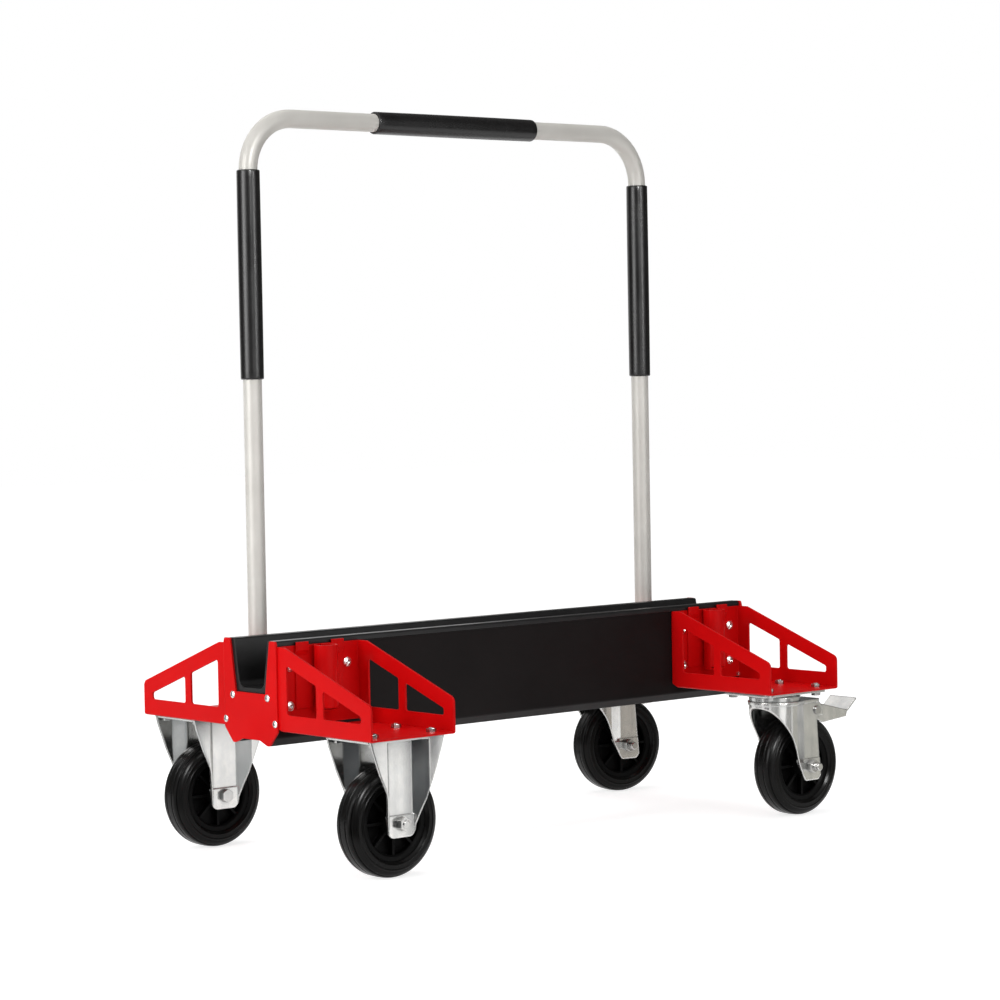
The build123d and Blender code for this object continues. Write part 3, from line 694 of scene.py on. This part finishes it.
# %% Liner and tyre rubber
def rubber(name, tones, gloss, specular, grain, depth, bloom):
    _, shader = layered_finish(
        name, tones, drift=22.0, gloss=gloss, grain=grain, depth=depth, edge=0.0012,
        edge_highlight_tone=(0.03, 0.03, 0.03), edge_highlight_share=0.35,
        painted_shade=(SHADE_IN_PIECE, 0.02, (0.002, 0.002, 0.002), 0.7),
        dust=bloom, dust_tone=(0.12, 0.115, 0.11),
    )
    shader.inputs["Specular IOR Level"].default_value = specular


rubber(
    "rubber_liner", ((0.0055, 0.0053, 0.0055), (0.0085, 0.0082, 0.0085)), gloss=(0.3, 0.4),
    specular=0.3, grain=1100.0, depth=0.00025, bloom=0.02,
)
rubber(
    "wheel_rubber", ((0.0045, 0.0042, 0.004), (0.006, 0.0057, 0.0055)), gloss=(0.2, 0.3),
    specular=0.12, grain=900.0, depth=0.0001, bloom=0.01,
)
print("rubber ready")

# %% [markdown]
# ## Moulded hubs
# The wheel centres are black polypropylene with the fine leather-like texture of an eroded mould. A fine,
# shallow grain stands for it, and a low specular level keeps the spokes dark inside the tyre.

# %% Hub plastic
def hub_plastic():
    _, shader = layered_finish(
        "hub_plastic", ((0.0045, 0.0045, 0.0045), (0.006, 0.006, 0.006)), drift=30.0,
        gloss=(0.34, 0.46), grain=1500.0, depth=0.0001, edge=0.001,
        edge_highlight_tone=(0.009, 0.009, 0.009), edge_highlight_share=0.3,
        painted_shade=(SHADE_IN_PIECE, 0.03, (0.001, 0.001, 0.001), 0.8), dust=0.006, dust_tone=(0.1, 0.095, 0.09),
    )
    shader.inputs["Specular IOR Level"].default_value = 0.05


hub_plastic()
print("hub plastic ready")

# %% [markdown]
# ## Bright zinc
# Forks, plates, pedals and screws are zinc-plated. Fresh zinc is a bright metal whose tone changes from
# crystal to crystal, with cloudy patches where the plating bath dried off, and painted reflections as
# soft upright streaks. Bolts and nuts are a shade darker than the sheet, and the small screws of brackets
# and end plates a shade lighter. Where pieces meet, painted shade darkens the metal for the dark gaps
# that it would mirror.

# %% Zinc on sheet and on screws
CRYSTAL_SHARE = 0.3
REFLECTION_SHARE = 0.4


def bright_zinc(name, tones, crystal_tone, crystals, reflection_tone, gloss, edge, edge_highlight_tone, painted_shade):
    tree, shader = layered_finish(
        name, tones, drift=34.0, gloss=gloss, grain=500.0, depth=0.00006, edge=edge,
        edge_highlight_tone=edge_highlight_tone, edge_highlight_share=0.35, painted_shade=painted_shade, dust=0.04, dust_tone=(0.4, 0.38, 0.36),
    )
    shader.inputs["Metallic"].default_value = 0.92
    cells = place(tree, CELLS, Scale=crystals)
    lines = place(tree, REFLECTION_STREAKS, Scale=70.0)
    colour = shader.inputs["Base Color"].links[0].from_socket
    crystal_mask = times(tree, cells.outputs["Patch"], CRYSTAL_SHARE)
    colour = mix_tones(tree, crystal_mask, colour, crystal_tone)
    # Painted reflection: soft upright streaks darken the colour.
    reflection_mask = times(tree, lines.outputs["Streak"], REFLECTION_SHARE)
    colour = mix_tones(tree, reflection_mask, colour, reflection_tone)
    wire(tree, colour, shader.inputs["Base Color"])


bright_zinc(
    "zinc_sheet", ((0.7, 0.695, 0.675), (0.82, 0.81, 0.78)),
    crystal_tone=(0.6, 0.61, 0.62), crystals=160.0, reflection_tone=(0.5, 0.505, 0.5),
    gloss=(0.12, 0.26), edge=0.003, edge_highlight_tone=(0.95, 0.95, 0.94),
    painted_shade=(SHADE_AMONG_PIECES, 0.05, (0.1, 0.105, 0.1), 0.8),
)
bright_zinc(
    "zinc_fasteners", ((0.5, 0.495, 0.48), (0.68, 0.67, 0.65)),
    crystal_tone=(0.5, 0.51, 0.52), crystals=320.0, reflection_tone=(0.4, 0.4, 0.39),
    gloss=(0.14, 0.24), edge=0.0009, edge_highlight_tone=(0.9, 0.89, 0.88),
    painted_shade=(SHADE_AMONG_PIECES, 0.02, (0.05, 0.05, 0.048), 0.9),
)
bright_zinc(
    "zinc_screws", ((0.8, 0.79, 0.77), (0.92, 0.91, 0.89)),
    crystal_tone=(0.75, 0.75, 0.75), crystals=320.0, reflection_tone=(0.65, 0.65, 0.64),
    gloss=(0.2, 0.3), edge=0.0009, edge_highlight_tone=(0.98, 0.97, 0.96),
    painted_shade=(SHADE_IN_PIECE, 0.004, (0.06, 0.06, 0.058), 0.9),
)
print("zinc ready")

# %% [markdown]
# ## Anodised tube
# The push handle is a drawn aluminium tube, satin anodised. The oxide skin scatters light, so it looks
# more like a warm light grey lacquer than like bare metal, with the faintest haze of fine pits.

# %% Satin aluminium
def satin_aluminium():
    _, shader = layered_finish(
        "aluminium_tube", ((0.6, 0.583, 0.545), (0.66, 0.643, 0.605)), drift=16.0,
        gloss=(0.36, 0.44), grain=2200.0, depth=0.00005, edge=0.0008,
        edge_highlight_tone=(0.85, 0.84, 0.82), edge_highlight_share=0.4, painted_shade=(SHADE_IN_PIECE, 0.02, (0.2, 0.19, 0.18), 0.6),
        dust=0.03, dust_tone=(0.4, 0.39, 0.37),
    )
    shader.inputs["Metallic"].default_value = 0.1
    shader.inputs["Specular IOR Level"].default_value = 0.2


satin_aluminium()
print("aluminium ready")

# %% [markdown]
# ## Foam skin
# The grips are closed-cell foam with a smooth skin. Fine pores under the grain break up the streaks that
# the tall lamps draw on it.

# %% Foam finish
PORES = 1300.0
PORE_DEPTH = 0.00015
PORE_STRENGTH = 0.35


def foam_skin():
    tree, shader = layered_finish(
        "foam_grip", ((0.0055, 0.0051, 0.0052), (0.0085, 0.008, 0.0081)), drift=26.0,
        gloss=(0.2, 0.28), grain=700.0, depth=0.0002, edge=0.001, edge_highlight_tone=(0.03, 0.03, 0.032),
        edge_highlight_share=0.3, painted_shade=(SHADE_IN_PIECE, 0.01, (0.003, 0.003, 0.003), 0.5),
        dust=0.01, dust_tone=(0.2, 0.19, 0.19),
    )
    pores = place(tree, CELLS, Scale=PORES)
    normal = shader.inputs["Normal"].links[0].from_socket
    normal = bump(tree, pores.outputs["Depth"], PORE_DEPTH, PORE_STRENGTH, normal)
    wire(tree, normal, shader.inputs["Normal"])
    shader.inputs["Specular IOR Level"].default_value = 0.4
    shader.inputs["Sheen Weight"].default_value = 0.01


foam_skin()
print("foam ready")

# %% [markdown]
# ## Dressing the construction
# The record names a material slot for every piece, and each finish carries the name of its slot. Only
# the small screws take a lighter zinc than their slot says.

# %% Finishes onto the construction
slot_of = {part["node"]: part["material_slot"] for part in frame["record"]["subparts"]}
slot_of |= {"end_plate_screws": "zinc_screws", "bracket_screws": "zinc_screws"}
for node, obj in frame["nodes"].items():
    for holder in obj.material_slots:
        holder.material = finishes[slot_of[node]]
print("dressed", len(frame["nodes"]), "nodes in", len(finishes), "finishes")

# %% [markdown]
# ## Foam sleeves
# Three sleeves of foam are pushed over the handle tube. Foam is soft: its cut ends round over, it hugs
# the tube, and its skin is never quite straight. A sleeve is a small rectangle, spun round the tube's
# axis; its outer rims are bevelled, and the length between them is divided so that it can swell a
# little towards its middle. Thickening the tube itself would be quicker, but a spun profile gives clean
# rings of faces for the bevel and the swelling to follow.

# %% A spun sleeve with round rims
RIM_ROUND = 0.0022
RIM_STEPS = 5
SPIN_STEPS = 72
LENGTH_CUTS = 30
WELD = 1e-6
NEAR = 1e-5
SKIN = 1e-4


def rise(edge):
    """How far an edge climbs along the sleeve."""
    return abs(edge.verts[0].co.z - edge.verts[1].co.z)


def spun_sleeve(bore, outer, half):
    """Upright sleeve round the origin: a spun rectangle, its outer rims rounded, its length divided."""
    bm = bmesh.new()
    corners = [(bore, -half), (outer, -half), (outer, half), (bore, half)]
    verts = [bm.verts.new((r, 0, z)) for r, z in corners]
    edges = [bm.edges.new((verts[i], verts[(i + 1) % 4])) for i in range(4)]
    bmesh.ops.spin(bm, geom=verts + edges, cent=(0, 0, 0), axis=(0, 0, 1), angle=math.tau,
                   steps=SPIN_STEPS, use_merge=True)
    bmesh.ops.remove_doubles(bm, verts=bm.verts[:], dist=WELD)
    bmesh.ops.recalc_face_normals(bm, faces=bm.faces[:])
    rims = [e for e in bm.edges
            if rise(e) < WELD and all(abs(v.co.xy.length - outer) < NEAR for v in e.verts)]
    bmesh.ops.bevel(bm, geom=rims, offset=RIM_ROUND, segments=RIM_STEPS, affect="EDGES",
                    profile=0.5, material=-1)
    runs = [e for e in bm.edges
            if rise(e) > half and all(v.co.xy.length > outer - SKIN for v in e.verts)]
    bmesh.ops.subdivide_edges(bm, edges=runs, cuts=LENGTH_CUTS, use_grid_fill=True)
    return bm


print("sleeve helper ready")

# %% [markdown]
# ## Onto the handle
# Each sleeve takes its length, thickness and place from the plain grip that it stands in for. It swells,
# the top one is turned to lie along the handle, and all three ride on the handle when it is lifted out.

# %% Sleeves over the tube
TUBE_R = 0.0140
BORE_GAP = 0.00012
SWELL = 0.0003


def foam_sleeve(node):
    """Sleeve in the place of a plain grip, swelling a little in the middle."""
    low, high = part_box(node)
    size = high - low
    middle = (low + high) / 2
    lying = size.x > size.z
    half = (size.x if lying else size.z) / 2
    outer = size.y / 2 - SWELL
    bm = spun_sleeve(TUBE_R + BORE_GAP, outer, half)
    for v in bm.verts:
        if v.co.xy.length > outer - SKIN:
            swell = SWELL * (1 - (v.co.z / half) ** 2)
            v.co.xy *= 1 + swell / outer
    if lying:
        quarter = Matrix.Rotation(math.pi / 2, 3, "Y")
        bmesh.ops.rotate(bm, verts=bm.verts[:], cent=(0, 0, 0), matrix=quarter)
    bmesh.ops.translate(bm, verts=bm.verts[:], vec=middle)
    mesh = mesh_from(bm, "foam_" + node)
    mesh.shade_smooth()
    mesh.materials.append(finishes["foam_grip"])
    sleeve = add_object("foam_" + node, mesh)
    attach(sleeve, "handle")
    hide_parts(node)
    return sleeve


for grip in ("grip_left", "grip_right", "grip_top"):
    sleeve = foam_sleeve(grip)
    print(sleeve.name, "faces", len(sleeve.data.polygons))
